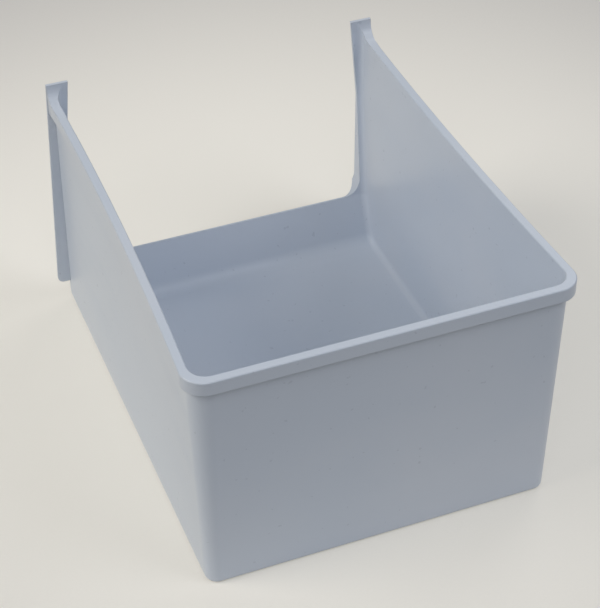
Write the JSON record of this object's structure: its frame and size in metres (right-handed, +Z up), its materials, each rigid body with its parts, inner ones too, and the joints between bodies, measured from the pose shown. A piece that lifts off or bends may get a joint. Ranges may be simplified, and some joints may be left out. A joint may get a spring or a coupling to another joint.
{
  "type": "fridge crisper drawer",
  "caption": "Open-topped fridge crisper drawer: a drafted tub with a flanged rim, a low sloping rear panel and raised corner posts at the back.",
  "frame": {"origin": "centre of the floor's underside: midway across the drawer, and midway between the front of the rim and the back of the posts", "axes": "+X to the right as seen from the front, +Y from the front to the notched back, +Z up"},
  "size_m": [0.2298, 0.287, 0.1686],
  "materials": {
    "body": "semi-gloss, milky pale blue"
  },
  "bodies": {
    "root": {"drawer_tub": "body"}
  },
  "joints": []
}
